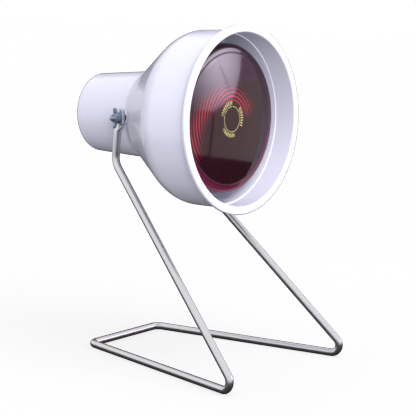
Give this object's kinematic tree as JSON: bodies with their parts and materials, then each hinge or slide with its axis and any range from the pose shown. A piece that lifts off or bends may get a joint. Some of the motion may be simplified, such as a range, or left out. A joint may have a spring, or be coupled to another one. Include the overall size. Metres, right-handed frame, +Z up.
{
  "type": "infrared heat therapy lamp",
  "caption": "Table heat lamp: a ruby reflector lamp in a white bell housing that tilts on wing nuts in a bent steel rod stand.",
  "frame": {"origin": "the floor point straight below the middle of the tilt axis", "axes": "+Z up, the lamp's mouth faces -Y, the tilt axis runs along X with +X to the lamp's left as seen from behind it"},
  "size_m": [0.1578, 0.208, 0.2762],
  "materials": {
    "plated_rod": "bright drawn steel rod, thin nickel plating",
    "white_shell": "glossy white moulding",
    "zinc_steel": "blue passivated zinc plating",
    "bush_rubber": "matt black rubber",
    "porcelain": "unglazed white steatite",
    "contact_brass": "plain brass, lightly tarnished",
    "ruby_glass": "ruby stained glass, glossy, ringed inside",
    "mirror_glass": "glass bowl, mirrored inside",
    "dark_glass": "black glass insulator",
    "solder": "dull tin solder and nickel wire",
    "tungsten": "dark drawn tungsten"
  },
  "bodies": {
    "stand": {"stand_frame": "plated_rod"},
    "head": {"housing_shell": "white_shell", "rear_cover": "white_shell", "cover_screws": "zinc_steel", "cable_bush": "bush_rubber", "holder_bracket": "zinc_steel", "bracket_screws": "zinc_steel", "lampholder_body": "porcelain", "lampholder_sleeve": "contact_brass", "centre_contact": "contact_brass", "terminal_plates": "contact_brass", "terminal_screws": "contact_brass", "pivot_bolt_left": "zinc_steel", "pivot_bolt_right": "zinc_steel", "friction_washer_left": "bush_rubber", "friction_washer_right": "bush_rubber"},
    "washer_left": {"plain_washer_left": "zinc_steel"},
    "nut_left": {"wing_nut_left": "zinc_steel"},
    "washer_right": {"plain_washer_right": "zinc_steel"},
    "nut_right": {"wing_nut_right": "zinc_steel"},
    "lamp_base": {"cap_insulator": "dark_glass", "cap_contact": "solder"},
    "lamp": {"lamp_lens": "ruby_glass", "lamp_reflector": "mirror_glass", "lamp_cap": "contact_brass", "filament": "tungsten", "filament_posts": "solder"}
  },
  "joints": [
    {"name": "head_tilt", "type": "hinge", "parent": "stand", "child": "head", "pos_m": [0, 0, 0.1968], "axis": [1, 0, 0], "range_deg": [-30, 22]},
    {"name": "nut_left_travel", "type": "slide", "parent": "head", "child": "washer_left", "axis": [-1, 0, 0], "range_m": [0, 0.0021]},
    {"name": "nut_left_turn", "type": "hinge", "parent": "washer_left", "child": "nut_left", "pos_m": [0, 0, 0.1968], "axis": [-1, 0, 0], "range_deg": [0, 1081]},
    {"name": "nut_right_travel", "type": "slide", "parent": "head", "child": "washer_right", "axis": [1, 0, 0], "range_m": [0, 0.0021]},
    {"name": "nut_right_turn", "type": "hinge", "parent": "washer_right", "child": "nut_right", "pos_m": [0, 0, 0.1968], "axis": [1, 0, 0], "range_deg": [0, 1081]},
    {"name": "lamp_travel", "type": "slide", "parent": "head", "child": "lamp_base", "axis": [0, -0.9993, 0.0366], "range_m": [0, 0.01815]},
    {"name": "lamp_turn", "type": "hinge", "parent": "lamp_base", "child": "lamp", "pos_m": [0, 0, 0.1968], "axis": [0, -0.9993, 0.0366], "range_deg": [0, 1800]}
  ],
  "couplings": [
    {"joint": "nut_left_turn", "follows": "nut_left_travel", "rad_per_m": 8976},
    {"joint": "nut_right_turn", "follows": "nut_right_travel", "rad_per_m": 8976},
    {"joint": "lamp_travel", "follows": "lamp_turn", "m_per_rad": 0.00057757}
  ]
}
